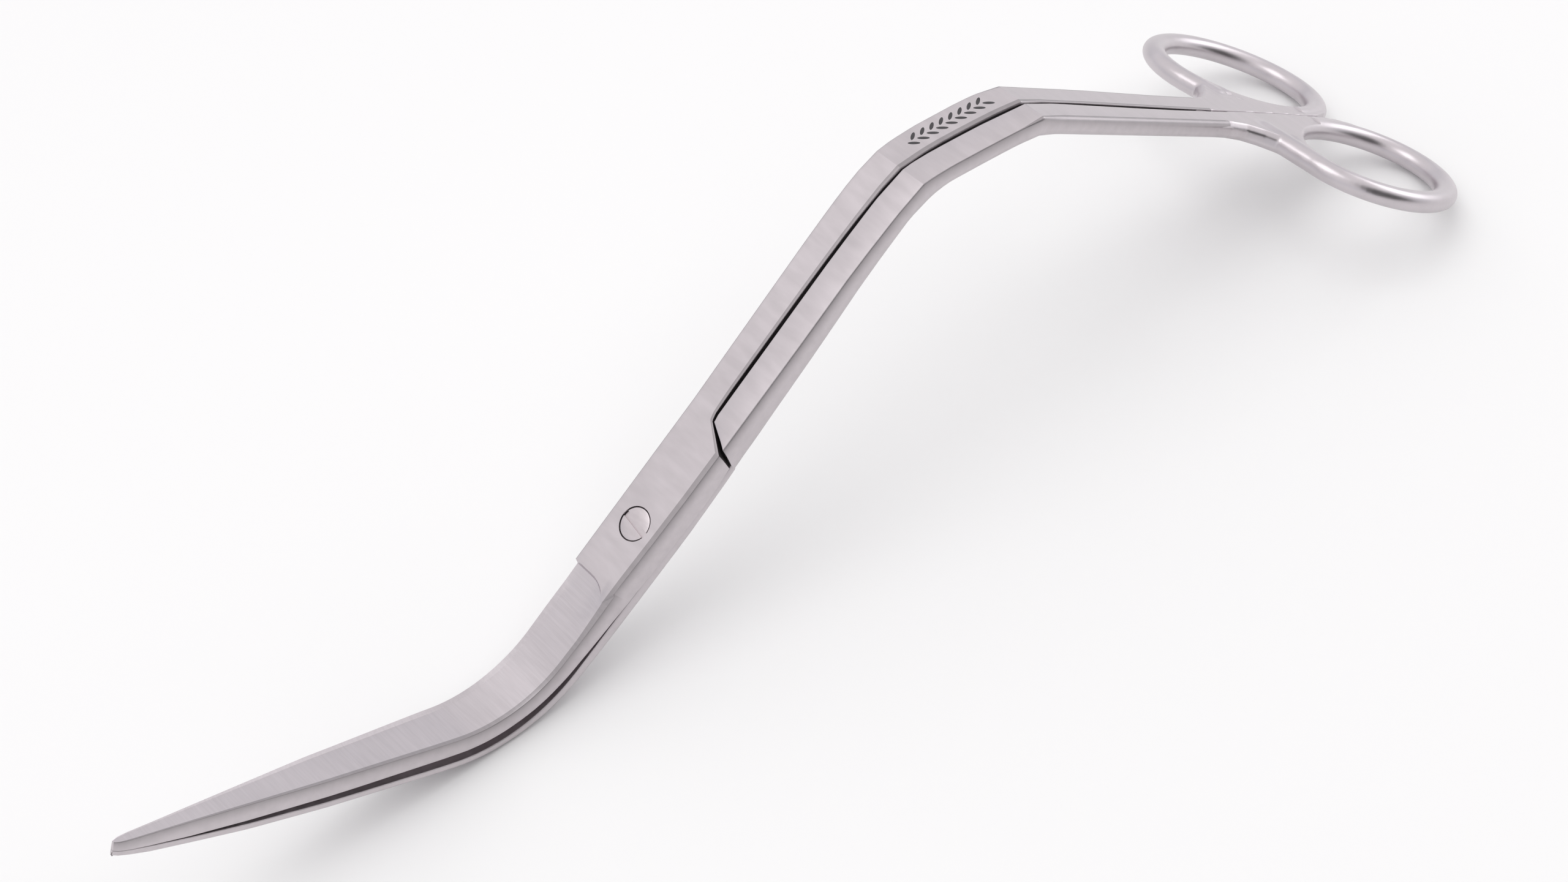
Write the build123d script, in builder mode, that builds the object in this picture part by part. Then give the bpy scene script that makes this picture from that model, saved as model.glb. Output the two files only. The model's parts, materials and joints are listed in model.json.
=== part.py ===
from build123d import *
from math import cos, radians, sin
import os

# Wave-shaped aquascaping scissors: two one-piece forged halves that cross in a lap joint and turn
# on a flush slotted screw. Closed, the tool stands as an arch, on the heel of its blades and on
# the far ends of its finger rings. Millimetres and degrees.

# Rise of each section above the floor, walking from the blade tips towards the rings
BLADE_RISE = -22.28
SHANK_RISE = 32.92
NECK_RISE = -5.48
HANDLE_RISE = -33.08

# Lengths along the top faces; the blade's is taken from the corner that its bend rounds off
PIVOT_TO_BEND = 33.3
BLADE_LENGTH = 65.75
PIVOT_TO_CREASE_1 = 65.85
NECK_LENGTH = 24.72
HANDLE_LENGTH = 62.0

# Widths, with both halves closed side by side
HALF_WIDTH = 4.8
SHANK_GAP = 0.8
RUNNING_GAP = 0.05

# Depths below the top faces
UPPER_PLATE = 4.4
JOINT_DEPTH = 6.55
SHANK_DEPTH = 5.2
NECK_DEPTH = 3.15
HANDLE_DEPTH = 3.2
GRIND_DEPTH = 0.5

# Stations along the shank, counted from the screw towards the rings
GRIND_START = -10.0
JOINT_END_EDGE = 15.9
JOINT_END_MIDDLE = 19.2
STEP_CLEARANCE = 0.3
SHANK_STATION = 25.5

# Blade: radius of the top of its bend, and the hollow between the two blades
BEND_RADIUS = 20.5
BLADE_HOLLOW = 0.8
UPPER_SPINE = 3.2
LOWER_SPINE = 1.7
TIP_CURVE_RADIUS = 160.0

# Finger rings
RING_CENTRE = (78.2, 15.7)
RING_RADII = (17.0, 13.2)
RING_TOE_IN = 4.0
TUBE_HALF_WIDTH = 2.2
TUBE_HALF_DEPTH = 1.7

# Screw
HEAD_RADIUS = 2.6
NECK_RADIUS = 1.9
THREAD_RADIUS = 1.5
HEAD_CONE_TOP = 0.5
HEAD_CONE_END = 1.3
BORE_CLEARANCE = 0.04
SLOT_WIDTH = 1.0
SLOT_DEPTH = 0.5
SLOT_TURN = 81.0

FAR = 80.0


# Side view: x runs towards the rings and y is up
def walk(start, rise, distance):
    return start + Vector(cos(radians(rise)), sin(radians(rise))) * distance


def below(point, rise, depth):
    return point + Vector(sin(radians(rise)), -cos(radians(rise))) * depth


# The corner of a surface that lies at one depth under both of its sections
def under_corner(corner, rise_a, rise_b, depth):
    return below(corner, (rise_a + rise_b) / 2, depth / cos(radians(rise_a - rise_b) / 2))


def section_plane(point, rise, depth=0.0):
    origin = below(point, rise, depth)
    return Plane(
        origin=(origin.X, 0, origin.Y),
        x_dir=(cos(radians(rise)), 0, sin(radians(rise))),
        z_dir=(-sin(radians(rise)), 0, cos(radians(rise))),
    )


PIVOT = Vector(0, 0)
CREASE_1 = walk(PIVOT, SHANK_RISE, PIVOT_TO_CREASE_1)
CREASE_2 = walk(CREASE_1, NECK_RISE, NECK_LENGTH)
HANDLE_END = walk(CREASE_2, HANDLE_RISE, HANDLE_LENGTH)
BEND = walk(PIVOT, SHANK_RISE, -PIVOT_TO_BEND)
TIP = walk(BEND, BLADE_RISE, -BLADE_LENGTH)
PLATE_END = walk(PIVOT, SHANK_RISE, 24.0)
BLADE_BELLY = walk(BEND, BLADE_RISE, -BLADE_LENGTH + 13.0)

SHANK_PLANE = section_plane(PIVOT, SHANK_RISE)
BLADE_PLANE = section_plane(BEND, BLADE_RISE)
HANDLE_PLANE = section_plane(CREASE_2, HANDLE_RISE)


# A surface between the joint and the tip: straight, round the bend, straight, and up to the tip
def blade_line(joint_depth, bend_depth, belly_depth, tip_depth, radius):
    return FilletPolyline(
        below(PLATE_END, SHANK_RISE, joint_depth),
        under_corner(BEND, SHANK_RISE, BLADE_RISE, bend_depth),
        below(BLADE_BELLY, BLADE_RISE, belly_depth),
        below(TIP, BLADE_RISE, tip_depth),
        radius=[radius, TIP_CURVE_RADIUS],
    )


# Plan of the blades, with the same outline for both: straight past the bend, then to the tip
def blade_plan():
    with BuildSketch(BLADE_PLANE) as plan:
        with BuildLine():
            spine = Spline(
                (-10.0, -HALF_WIDTH), (-33.4, -3.2), (-53.4, -1.5), (-BLADE_LENGTH, -0.4),
                tangents=[(-1, 0.03), (-1, 0.1)],
            )
            edge = Spline(
                (-10.0, HALF_WIDTH), (-33.4, 3.2), (-53.4, 1.5), (-BLADE_LENGTH, 0.4),
                tangents=[(-1, -0.03), (-1, -0.1)],
            )
            Line(spine @ 1, edge @ 1)
            Polyline(spine @ 0, (FAR, -HALF_WIDTH), (FAR, HALF_WIDTH), edge @ 0)
        make_face()
    return plan.sketch


# Plan of what is cut away past the end of a joint plate, on the side of the other half's shank
def joint_end_plan(side):
    with BuildSketch(SHANK_PLANE) as plan:
        with BuildLine():
            Polyline(
                (22.0, side * SHANK_GAP / 2),
                (JOINT_END_MIDDLE, -side * 0.15),
                (JOINT_END_EDGE, -side * (HALF_WIDTH + RUNNING_GAP)),
                (JOINT_END_EDGE, -side * 2 * HALF_WIDTH),
                (FAR, -side * 2 * HALF_WIDTH),
                (FAR, side * SHANK_GAP / 2),
                close=True,
            )
        make_face()
    return plan.sketch


# Plan of what is cut out of a shank to let the other half's joint plate in
def joint_step_plan(side, plane):
    with BuildSketch(plane) as plan:
        with BuildLine():
            Polyline(
                (-FAR / 2, 0),
                (JOINT_END_MIDDLE + STEP_CLEARANCE, 0),
                (JOINT_END_EDGE + 3 * STEP_CLEARANCE, side * (HALF_WIDTH + RUNNING_GAP)),
                (-FAR / 2, side * 2 * HALF_WIDTH),
                close=True,
            )
        make_face()
    return plan.sketch


# Side view of a joint plate with its blade, between two blade lines
def plate_side(top_line, bottom_line):
    with BuildSketch(Plane.XZ) as side_view:
        with BuildLine():
            top = top_line()
            bottom = bottom_line()
            Line(top @ 0, bottom @ 0)
            Line(top @ 1, bottom @ 1)
        make_face()
    return side_view.sketch


# Side view of shank, neck and handle: crisp creases on top and soft bends underneath
def stem_side(side):
    with BuildSketch(Plane.XZ.offset(-side * SHANK_GAP / 2)) as side_view:
        with BuildLine():
            start = walk(PIVOT, SHANK_RISE, 3.0)
            top = Polyline(start, CREASE_1, CREASE_2, HANDLE_END)
            under = FilletPolyline(
                below(start, SHANK_RISE, JOINT_DEPTH),
                below(walk(PIVOT, SHANK_RISE, SHANK_STATION), SHANK_RISE, SHANK_DEPTH),
                under_corner(CREASE_1, SHANK_RISE, NECK_RISE, NECK_DEPTH),
                under_corner(CREASE_2, NECK_RISE, HANDLE_RISE, NECK_DEPTH),
                below(HANDLE_END, HANDLE_RISE, HANDLE_DEPTH),
                radius=[60.0, 12.0, 12.0],
            )
            Line(top @ 0, under @ 0)
            Line(top @ 1, under @ 1)
        make_face()
    return side_view.sketch


# Web that joins the handle to the inner side of its ring
def web_plan(side):
    with BuildSketch(HANDLE_PLANE) as plan:
        with BuildLine():
            Line((46.0, side * 0.35), (80.0, side * 0.35))
            ThreePointArc((80.0, side * 0.35), (86.0, side * 1.7), (91.0, side * 6.0))
            ThreePointArc((91.0, side * 6.0), (77.0, side * 5.6), (65.5, side * 10.5))
            Line((65.5, side * 10.5), (62.0, side * 11.5))
            ThreePointArc((62.0, side * 11.5), (57.5, side * 6.4), (46.0, side * HALF_WIDTH))
            Line((46.0, side * HALF_WIDTH), (46.0, side * 0.35))
        make_face()
    return plan.sketch


# Finger ring: an oval tube swept round an ellipse in the plane of the handle, in two halves
def ring(side):
    with BuildPart() as tube:
        for start_angle in (45, 225):
            with BuildLine(HANDLE_PLANE.offset(-TUBE_HALF_DEPTH)) as path:
                arc = EllipticalCenterArc(
                    (RING_CENTRE[0], side * RING_CENTRE[1]),
                    *RING_RADII,
                    start_angle=start_angle,
                    arc_size=180,
                    rotation=-side * RING_TOE_IN,
                )
            with BuildSketch(Plane(arc @ 0, x_dir=HANDLE_PLANE.z_dir, z_dir=arc % 0)):
                Ellipse(TUBE_HALF_DEPTH, TUBE_HALF_WIDTH)
            sweep(path=path.line)
    return tube.part


# Shank, neck, handle and ring of one half; side is 1 on the left of the tool and -1 on the right
def stem(side):
    with BuildPart() as piece:
        extrude(stem_side(side), amount=-side * (HALF_WIDTH - SHANK_GAP / 2))
        extrude(web_plan(side), amount=-HANDLE_DEPTH)
        add(ring(side))
    return piece.part


def upper_top():
    return FilletPolyline(
        below(PLATE_END, SHANK_RISE, GRIND_DEPTH),
        under_corner(BEND, SHANK_RISE, BLADE_RISE, GRIND_DEPTH),
        below(TIP, BLADE_RISE, GRIND_DEPTH),
        radius=BEND_RADIUS,
    )


def upper_mating():
    depth = GRIND_DEPTH + UPPER_SPINE
    return blade_line(UPPER_PLATE, depth, depth, depth - 1.2, BEND_RADIUS + UPPER_SPINE)


def lower_mating():
    depth = GRIND_DEPTH + UPPER_SPINE
    joint_depth = UPPER_PLATE + RUNNING_GAP
    return blade_line(
        joint_depth,
        depth + BLADE_HOLLOW,
        depth + BLADE_HOLLOW / 2,
        depth - 1.2 + RUNNING_GAP,
        BEND_RADIUS + UPPER_SPINE + BLADE_HOLLOW,
    )


def lower_bottom():
    depth = GRIND_DEPTH + UPPER_SPINE + BLADE_HOLLOW + LOWER_SPINE
    return blade_line(JOINT_DEPTH, depth, depth - 0.6, depth - 2.3, BEND_RADIUS + depth)


SCREW_AXIS = Axis(SHANK_PLANE.origin, SHANK_PLANE.z_dir)


# Screw hole or screw body: a countersunk head, a plain neck and a threaded end
def screw_section(clearance, end_depth):
    plane = Plane(SHANK_PLANE.origin, x_dir=SHANK_PLANE.x_dir, z_dir=(0, -1, 0))
    with BuildSketch(plane) as section:
        with BuildLine():
            Polyline(
                (0, 0),
                (HEAD_RADIUS + clearance, 0),
                (HEAD_RADIUS + clearance, -HEAD_CONE_TOP),
                (NECK_RADIUS + clearance, -HEAD_CONE_END - clearance),
                (NECK_RADIUS + clearance, -UPPER_PLATE - RUNNING_GAP),
                (THREAD_RADIUS, -UPPER_PLATE - RUNNING_GAP),
                (THREAD_RADIUS, -end_depth),
                (0, -end_depth),
                close=True,
            )
        make_face()
    return section.sketch


# Upper half: ring and shank on the left, joint plate on top, blade above the other blade
with BuildPart() as upper_half:
    extrude(plate_side(upper_top, upper_mating), amount=HALF_WIDTH, both=True)
    with BuildSketch(SHANK_PLANE.offset(-GRIND_DEPTH)):
        with Locations(((GRIND_START + 24.0) / 2, 0)):
            Rectangle(24.0 - GRIND_START, 2 * HALF_WIDTH)
    extrude(amount=GRIND_DEPTH)
    extrude(joint_end_plan(1), amount=2 * JOINT_DEPTH, both=True, mode=Mode.SUBTRACT)
    extrude(blade_plan(), amount=FAR, both=True, mode=Mode.INTERSECT)
    add(stem(1))
    mating_plane = SHANK_PLANE.offset(-UPPER_PLATE)
    extrude(joint_step_plan(1, mating_plane), amount=-2 * JOINT_DEPTH, mode=Mode.SUBTRACT)
    revolve(screw_section(BORE_CLEARANCE, JOINT_DEPTH), axis=SCREW_AXIS, mode=Mode.SUBTRACT)

# Shank of the lower half, cut down to the mating plane where the upper joint plate lies
with BuildPart() as lower_stem:
    add(stem(-1))
    mating_plane = SHANK_PLANE.offset(-UPPER_PLATE - RUNNING_GAP)
    extrude(joint_step_plan(-1, mating_plane), amount=2 * JOINT_DEPTH, mode=Mode.SUBTRACT)

# Lower half: ring and shank on the right, joint plate underneath, blade below the other blade
with BuildPart() as lower_half:
    extrude(plate_side(lower_mating, lower_bottom), amount=HALF_WIDTH, both=True)
    extrude(joint_end_plan(-1), amount=2 * JOINT_DEPTH, both=True, mode=Mode.SUBTRACT)
    extrude(blade_plan(), amount=FAR, both=True, mode=Mode.INTERSECT)
    add(lower_stem.part)
    revolve(screw_section(0, 2 * JOINT_DEPTH), axis=SCREW_AXIS, mode=Mode.SUBTRACT)

# Pivot screw, flush with the upper half's top and held in the lower half's thread
with BuildPart() as pivot_screw:
    revolve(screw_section(0, JOINT_DEPTH - 0.1), axis=SCREW_AXIS)
    with BuildSketch(SHANK_PLANE):
        Rectangle(3 * HEAD_RADIUS, SLOT_WIDTH, rotation=SLOT_TURN)
    extrude(amount=-SLOT_DEPTH, mode=Mode.SUBTRACT)

upper_half.part.label = "upper_half"
lower_half.part.label = "lower_half"
pivot_screw.part.label = "pivot_screw"
pieces = [upper_half.part, lower_half.part, pivot_screw.part]

# The origin is on the floor, under the middle of the closed tool's box
whole = Compound(children=[piece.moved(Location()) for piece in pieces]).bounding_box()
stand = Location((-whole.center().X, -whole.center().Y, -whole.min.Z))
print("origin shift", stand.position, "size", whole.size)

os.makedirs("parts", exist_ok=True)
for piece in pieces:
    label = piece.label
    placed = piece.moved(stand)
    placed.label = label
    print(label, "solids", len(placed.solids()), "volume", round(placed.volume, 1))
    export_step(placed, f"parts/{label}.step")
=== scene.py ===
import bpy
import bmesh
import json
import numpy as np
from math import cos, degrees, pi, radians, sin, tan
from mathutils import Matrix, Vector


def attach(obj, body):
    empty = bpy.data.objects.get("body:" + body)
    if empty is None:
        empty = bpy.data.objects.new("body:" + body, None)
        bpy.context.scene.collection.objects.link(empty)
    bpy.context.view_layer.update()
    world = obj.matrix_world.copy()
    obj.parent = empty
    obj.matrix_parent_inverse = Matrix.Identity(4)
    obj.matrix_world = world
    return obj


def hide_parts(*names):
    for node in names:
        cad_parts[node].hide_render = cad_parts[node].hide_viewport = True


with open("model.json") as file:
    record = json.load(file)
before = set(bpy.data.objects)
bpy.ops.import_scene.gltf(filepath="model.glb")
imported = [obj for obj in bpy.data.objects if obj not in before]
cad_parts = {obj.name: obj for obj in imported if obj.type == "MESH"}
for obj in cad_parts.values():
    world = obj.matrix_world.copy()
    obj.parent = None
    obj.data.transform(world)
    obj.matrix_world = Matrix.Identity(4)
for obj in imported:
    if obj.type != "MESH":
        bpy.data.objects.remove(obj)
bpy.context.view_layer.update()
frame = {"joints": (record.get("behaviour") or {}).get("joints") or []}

mm = 0.001
hinge = frame["joints"][0]
pivotPoint = Vector(hinge["pos_m"]) / mm
hingeAxis = Vector(hinge["axis"])
shankRise = degrees(np.arctan2(-hingeAxis.x, hingeAxis.z))

# The closed tool seen from its side, in mm and degrees: a path along the top faces,
# counted from the screw, minus towards the blade tips and plus towards the rings
layout = {
    "bladeTurn": 55.2,          # how far the blades bend up from the line of the shanks
    "neckTurn": -38.4,          # the neck's and the handle's rise above the shanks' line
    "handleTurn": -66.0,
    "pivotToBend": 33.3,
    "bendRadius": 20.0,
    "pivotToCrease1": 65.85,
    "neckLength": 24.72,
    "leanReach": 7.0,           # sections lean over this length on each side of a crease
}


def direction(rise):
    return np.array([cos(radians(rise)), sin(radians(rise))])


def upward(rise):
    return np.array([-sin(radians(rise)), cos(radians(rise))])


bladeRise = shankRise - layout["bladeTurn"]
neckRise = shankRise + layout["neckTurn"]
handleRise = shankRise + layout["handleTurn"]
halfTurn = radians(layout["bladeTurn"]) / 2
bendStart = -(layout["pivotToBend"] - layout["bendRadius"] * tan(halfTurn))
bendEnd = bendStart - 2 * halfTurn * layout["bendRadius"]
crease1 = layout["pivotToCrease1"]
crease2 = crease1 + layout["neckLength"]
pivot2d = np.array([pivotPoint.x, pivotPoint.z])


# Place and rise of the top face at one station of the path
def topPath(s):
    if s < bendStart:
        start = pivot2d + direction(shankRise) * bendStart
        centre = start + upward(shankRise) * layout["bendRadius"]
        turned = min((bendStart - s) / layout["bendRadius"], 2 * halfTurn)
        rise = shankRise - degrees(turned)
        place = centre - upward(rise) * layout["bendRadius"]
        if s < bendEnd:
            place = place - direction(rise) * (bendEnd - s)
        return place, rise
    if s < crease1:
        return pivot2d + direction(shankRise) * s, shankRise
    corner1 = pivot2d + direction(shankRise) * crease1
    if s < crease2:
        return corner1 + direction(neckRise) * (s - crease1), neckRise
    corner2 = corner1 + direction(neckRise) * layout["neckLength"]
    return corner2 + direction(handleRise) * (s - crease2), handleRise


# How far a section leans near a crease, so that sections meet in the plane that halves it
def creaseLean(s):
    reach = layout["leanReach"]
    for crease, turn in ((crease1, -layout["neckTurn"]), (crease2, layout["neckTurn"] - layout["handleTurn"])):
        if abs(s - crease) < reach:
            side = 1 if s >= crease else -1
            return side * tan(radians(turn) / 2) * (1 - abs(s - crease) / reach)
    return 0.0


# A point of a section: across the tool, and at a depth below the top path
def placePoint(s, y, depth, forward=0.0):
    place, rise = topPath(s)
    place = place + direction(rise) * (forward + depth * creaseLean(s)) - upward(rise) * depth
    return (place[0] * mm, y * mm, place[1] * mm)


def ramp(stations, values):
    return lambda s: float(np.interp(s, stations, values))


# Forging: what both halves share, in mm; stations first, then the value at each
forging = {
    "spineEdge": ([-97.4, -96.6, -95.0, -85.0, -65.0, -45.0, -30.0, -18.0, -8.0, 0.0, 8.0, 15.9],
                  [0.25, 0.62, 0.85, 1.5, 3.0, 4.05, 4.5, 4.7, 4.62, 4.78, 4.86, 4.8]),
    "cuttingEdge": ([-97.4, -96.6, -95.0, -85.0, -65.0, -45.0, -30.0, -18.0],
                    [0.25, 0.6, 0.85, 1.7, 3.3, 4.2, 4.6, 4.8]),
    "bevelWidth": ([-97.4, -90.0, -60.0, -12.0, -10.3, -9.9], [0.08, 0.22, 0.42, 0.5, 0.5, 0.12]),
    "stemDepth": ([3.0, 25.5, 40.0, 61.5, 65.85, 70.5, 86.0, 90.57, 95.0, 130.0, 141.0],
                  [6.3, 5.0, 4.4, 3.3, 3.6, 3.1, 3.1, 3.45, 3.15, 3.1, 3.1]),
    "barrel": ([-97.4, -85.0, -60.0, -20.0, 0.0, 25.0, 60.0, 88.0, 97.0, 141.0],
               [0.06, 0.14, 0.3, 0.42, 0.45, 0.45, 0.4, 0.3, 0.12, 0.05]),
    "grindStart": ([-4.8, -4.4, -3.6, -3.0, -2.4, -1.2, 0.2, 4.8],      # across the blade, not along it
                   [-2.2, -2.15, -1.95, -1.55, -1.0, -0.35, -0.05, 0.0]),
    "gapChamfer": ([15.9, 20.0, 24.0, 55.0, 66.0, 90.0, 100.0], [0.06, 0.06, 0.16, 0.18, 0.4, 0.45, 0.2]),
    "barrelReach": 2.0,
    "bladeEnd": -9.9,           # where the blade's grind stops and the joint plate starts
    "grindEdge": -10.25,        # the last section of the ground face
    "gapStart": 15.9,           # where the plates end and the shanks lie side by side
    "stepEnd": 19.5,
    "plateShare": 0.62,         # depth of the inner wall's corner past the step
    "sharpRound": 0.05,
    "stemEnd": 141.0,
}
upperHalf = {
    "side": 1,
    "outer": ([-97.4, -10.3, -9.9], [0.5, 0.5, 0.0]),
    "mating": ([-97.4, -92.0, -86.0, -77.0, -60.0, -45.0, -33.0, -26.0, -18.0, -10.0, -4.0, 10.6, 15.5, 22.0],
               [2.0, 2.6, 3.08, 3.32, 3.2, 2.9, 2.7, 2.8, 3.25, 3.85, 4.2, 4.2, 3.65, 3.65]),
    "edge": ([-9.9, 20.0, 50.0, 58.0, 62.0, 65.85, 69.0, 74.0, 82.0, 86.0, 90.57, 95.0, 110.0, 130.0, 141.0],
             [4.8, 5.05, 6.05, 6.15, 5.95, 5.4, 5.95, 6.35, 6.4, 6.25, 5.5, 5.8, 5.75, 4.95, 4.75]),
    "plateEnd": ([15.9, 19.2, 20.0, 25.0, 45.0, 55.0, 62.0, 65.85, 71.0, 74.0, 80.0, 86.0, 90.57, 96.0, 106.0, 141.0],
                 [-4.8, -0.15, 0.25, 0.5, 0.92, 0.92, 0.58, 0.1, 0.64, 0.8, 0.8, 0.6, 0.2, 0.64, 0.62, -0.15]),
    "riser": ([16.8, 19.5], [4.8, 0.3]),
    "slant": ([12.0, 15.9, 19.2, 20.5], [0.0, 1.0, 1.0, 0.0]),
    "slantRun": 0.9,            # how far the step leans forward
    "slantDepth": 3.9,
    "crown": 0.05,              # swell of the blade's ground face, per mm across
    "land": 0.35,               # upright strip beside the cutting edge
    "topRound": ([-9.9, 86.0, 96.0], [0.1, 0.1, 0.9]),
    "deepRound": 1.2,
    "plateRound": 0.1,
    "spineRound": 0.06,
}
lowerHalf = {
    "side": -1,
    "outer": ([-97.4, -92.0, -77.0, -45.0, -26.0, -13.0, 3.0], [3.05, 4.0, 5.15, 5.7, 5.85, 6.2, 6.3]),
    "mating": ([-97.4, -92.0, -85.0, -77.0, -60.0, -45.0, -33.0, -25.0, -18.0, -13.0, 22.0],
               [2.04, 2.72, 3.4, 3.95, 4.4, 4.66, 4.66, 4.4, 4.26, 4.24, 4.24]),
    "edge": ([-9.9, 17.0, 35.0, 50.0, 60.0, 65.85, 68.0, 72.0, 80.0, 90.57, 141.0],
             [4.8, 4.8, 4.6, 4.25, 4.5, 4.95, 4.7, 4.5, 4.55, 4.85, 4.8]),
    "plateEnd": ([15.9, 19.2, 20.0, 50.0, 60.0, 65.85, 68.0, 71.0, 76.0, 82.0, 90.57, 98.0, 120.0, 130.0, 141.0],
                 [-4.8, -0.15, 0.12, -0.5, -0.4, 0.22, -0.1, -0.26, -0.3, -0.2, 0.3, -0.16, 0.45, 0.62, 0.6]),
    "riser": ([16.9, 19.35], [4.8, 0.3]),
    "slant": ([13.0, 16.88, 19.35, 21.0], [0.0, 1.0, 1.0, 0.0]),
    "slantRun": 1.4,
    "slantDepth": 3.9,
    "crown": 0.07,
    "topRound": ([-9.9, 86.0, 96.0], [0.1, 0.1, 0.95]),
    "deepRound": 1.15,
    "innerRound": 0.4,
}


def stationList():
    stations = [-97.4, -97.25, -97.0, -96.6, -96.0, -95.0, -93.5, -92.0, -89.0]
    stations += list(np.arange(-86.0, bendEnd, 2.2)) + list(np.linspace(bendEnd, bendStart, 28))
    stations += [-21.0, -19.0, -17.0, -15.5, -14.2, -13.2, -10.25, -9.9, -8.0]
    stations += [-4.0, 0.0, 4.0, 8.0, 10.6, 12.0, 13.0, 14.0, 15.0, 15.88, 15.9, 16.78, 16.8, 16.88, 16.9]
    stations += [17.6, 18.4, 19.0, 19.2, 19.35, 19.5, 20.5, 22.0, 23.5, 25.5, 30.0, 36.0, 42.0, 48.0, 53.0, 56.0]
    for crease in (crease1, crease2):
        for step in (0.35, 0.9, 1.8, 2.8, 4, 5.5, 7):
            stations += [crease - step, crease + step]
        stations.append(crease)
    stations += [74.5, 78.0, 82.0, 101.0, 106.0, 112.0, 118.0, 124.0, 130.0, 136.0, forging["stemEnd"]]
    return sorted(set(round(float(s), 3) for s in stations))


# Where the start of the blade's grind falls back towards the spine, in a rounded corner
def grindCurve(y):
    return float(np.interp(y, *forging["grindStart"]))


wallShares = (0.06, 0.14, 0.24, 0.36, 0.5, 0.66, 0.84)      # heights of the points on a side wall


# A side wall from its top to its bottom as (y, depth): barrel-shaped, with both ends rounded
def sideWall(y, top, bottom, bulge, roundTop, roundBottom):
    high = bottom - top
    turnTop, turnBottom = min(roundTop, high * 0.45), min(roundBottom, high * 0.5)
    points = []
    for k in range(5):
        turn = k / 4 * pi / 2
        points.append((-turnTop * (1 - sin(turn)), top + turnTop * (1 - cos(turn))))
    for share in wallShares:
        points.append((0.0, top + turnTop + (high - turnTop - turnBottom) * share))
    for k in range(7):
        turn = k / 6 * pi / 2
        points.append((-turnBottom * (1 - cos(turn)), bottom - turnBottom * (1 - sin(turn))))
    reach = forging["barrelReach"]
    return [(y + inset + bulge * (1 - (1 - min((d - top) / reach, 1.0)) ** 2), d) for inset, d in points]


# The ground side of a blade: a slanting face, and a narrow upright land beside the cutting edge
def bevelWall(y, faceDepth, matingDepth, width, land):
    foot = matingDepth - np.sign(matingDepth - faceDepth) * min(land, abs(matingDepth - faceDepth) * 0.75)
    points = [(y - width * (1 - k / 12), faceDepth + (foot - faceDepth) * k / 12) for k in range(13)]
    return points + [(y, foot + (matingDepth - foot) * (k + 1) / 6) for k in range(6)]


# One section of a half as points (y, depth, forward), drawn for the upper half and mirrored for the lower
def section(s, half, values):
    isUpper = half["side"] > 0
    onBlade = s < forging["bladeEnd"]
    away = 1 if isUpper else -1                      # depth direction from the outer face inwards
    outer = values["outer"](s) if isUpper or s <= half["outer"][0][-1] else values["stemDepth"](s)
    stem = values["stemDepth"](s) if isUpper else 0.0
    plate = values["mating"](s)
    edge = values["cuttingEdge"](s) if onBlade else values["edge"](s)
    spine = -values["spineEdge"](s) if s < forging["gapStart"] else values["plateEnd"](s)
    bulge = values["barrel"](s)
    riserStart = half["riser"][0][0]
    deep = stem if s >= riserStart else plate
    if s > forging["stepEnd"]:
        plate = outer + (deep - outer) * forging["plateShare"]
        riser = spine + 0.001
    else:
        riser = max(values["riser"](s), spine + 0.001) if s >= riserStart else edge - 0.3
    # walls: the cutting edge's side, then the spine's side, each from the outer face inwards
    topRound = values["topRound"](s)
    if onBlade and isUpper:
        right = bevelWall(edge, outer, plate, values["bevelWidth"](s), half["land"])
    elif isUpper:
        right = sideWall(edge, outer, deep, bulge, topRound, half["deepRound" if s >= riserStart else "plateRound"])
    else:
        right = sideWall(edge, deep, outer, bulge, topRound, half["deepRound"])[::-1]
    inside = s > forging["gapStart"]
    wallBulge, sharp = 0.0 if inside else bulge, forging["sharpRound"]
    if isUpper:
        chamfer = values["gapChamfer"](s) if inside else half["spineRound"]
        left = sideWall(-spine, outer, plate, wallBulge, chamfer, sharp)
    else:
        left = sideWall(-spine, plate, outer, wallBulge, sharp, half["innerRound" if inside else "deepRound"])[::-1]
    left = [(-y, d) for y, d in left][::-1]          # back from the mating face to the outer one
    slide = values["slant"](s) * half["slantRun"]
    points = []
    first, last = left[-1][0], right[0][0]
    for k in range(1, 12):
        y = first + (last - first) * k / 12
        depth, forward = outer, 0.0
        if onBlade:
            fade = 0.0                               # the grind runs out towards the spine near the joint
            if isUpper:
                fade = min(1.0, max(0.0, (-y - 0.6) / 3.4)) * min(1.0, max(0.0, (s + 19.0) / 7.0))
            bow = half["crown"] * (y - first) * min(1.0, (forging["bladeEnd"] - s) / 6.0)
            depth = outer * (1 - fade) + away * bow
        if isUpper and s in (forging["grindEdge"], forging["bladeEnd"]):
            forward = grindCurve(y)
        points.append((y, depth, forward))

    def slid(y, d):
        return (y, d, -slide * min(d / half["slantDepth"], 1.0))

    # the step leans on the side where the other half ends
    def kept(y, d):
        return (y, d, 0.0)

    towardEdge, towardSpine = (kept, slid) if isUpper else (slid, kept)
    points += [towardEdge(y, d) for y, d in right]
    cornerRound = min(0.3, (right[-1][0] - riser) * 0.4, abs(deep - plate) * 0.4)
    for k in range(4):
        turn = k / 3 * pi / 2
        points.append(towardEdge(riser + cornerRound * (1 - sin(turn)), deep - away * cornerRound * (1 - cos(turn))))
    points.append(towardEdge(riser, plate))
    points += [towardSpine(y, d) for y, d in left]
    return [(half["side"] * y, depth, forward) for y, depth, forward in points]


def shadeByAngle(mesh, angle=26):
    bm = bmesh.new()
    bm.from_mesh(mesh)
    for face in bm.faces:
        face.smooth = True
    for edge in bm.edges:
        edge.smooth = len(edge.link_faces) == 2 and edge.calc_face_angle(0) < radians(angle)
    bm.to_mesh(mesh)
    bm.free()


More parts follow.
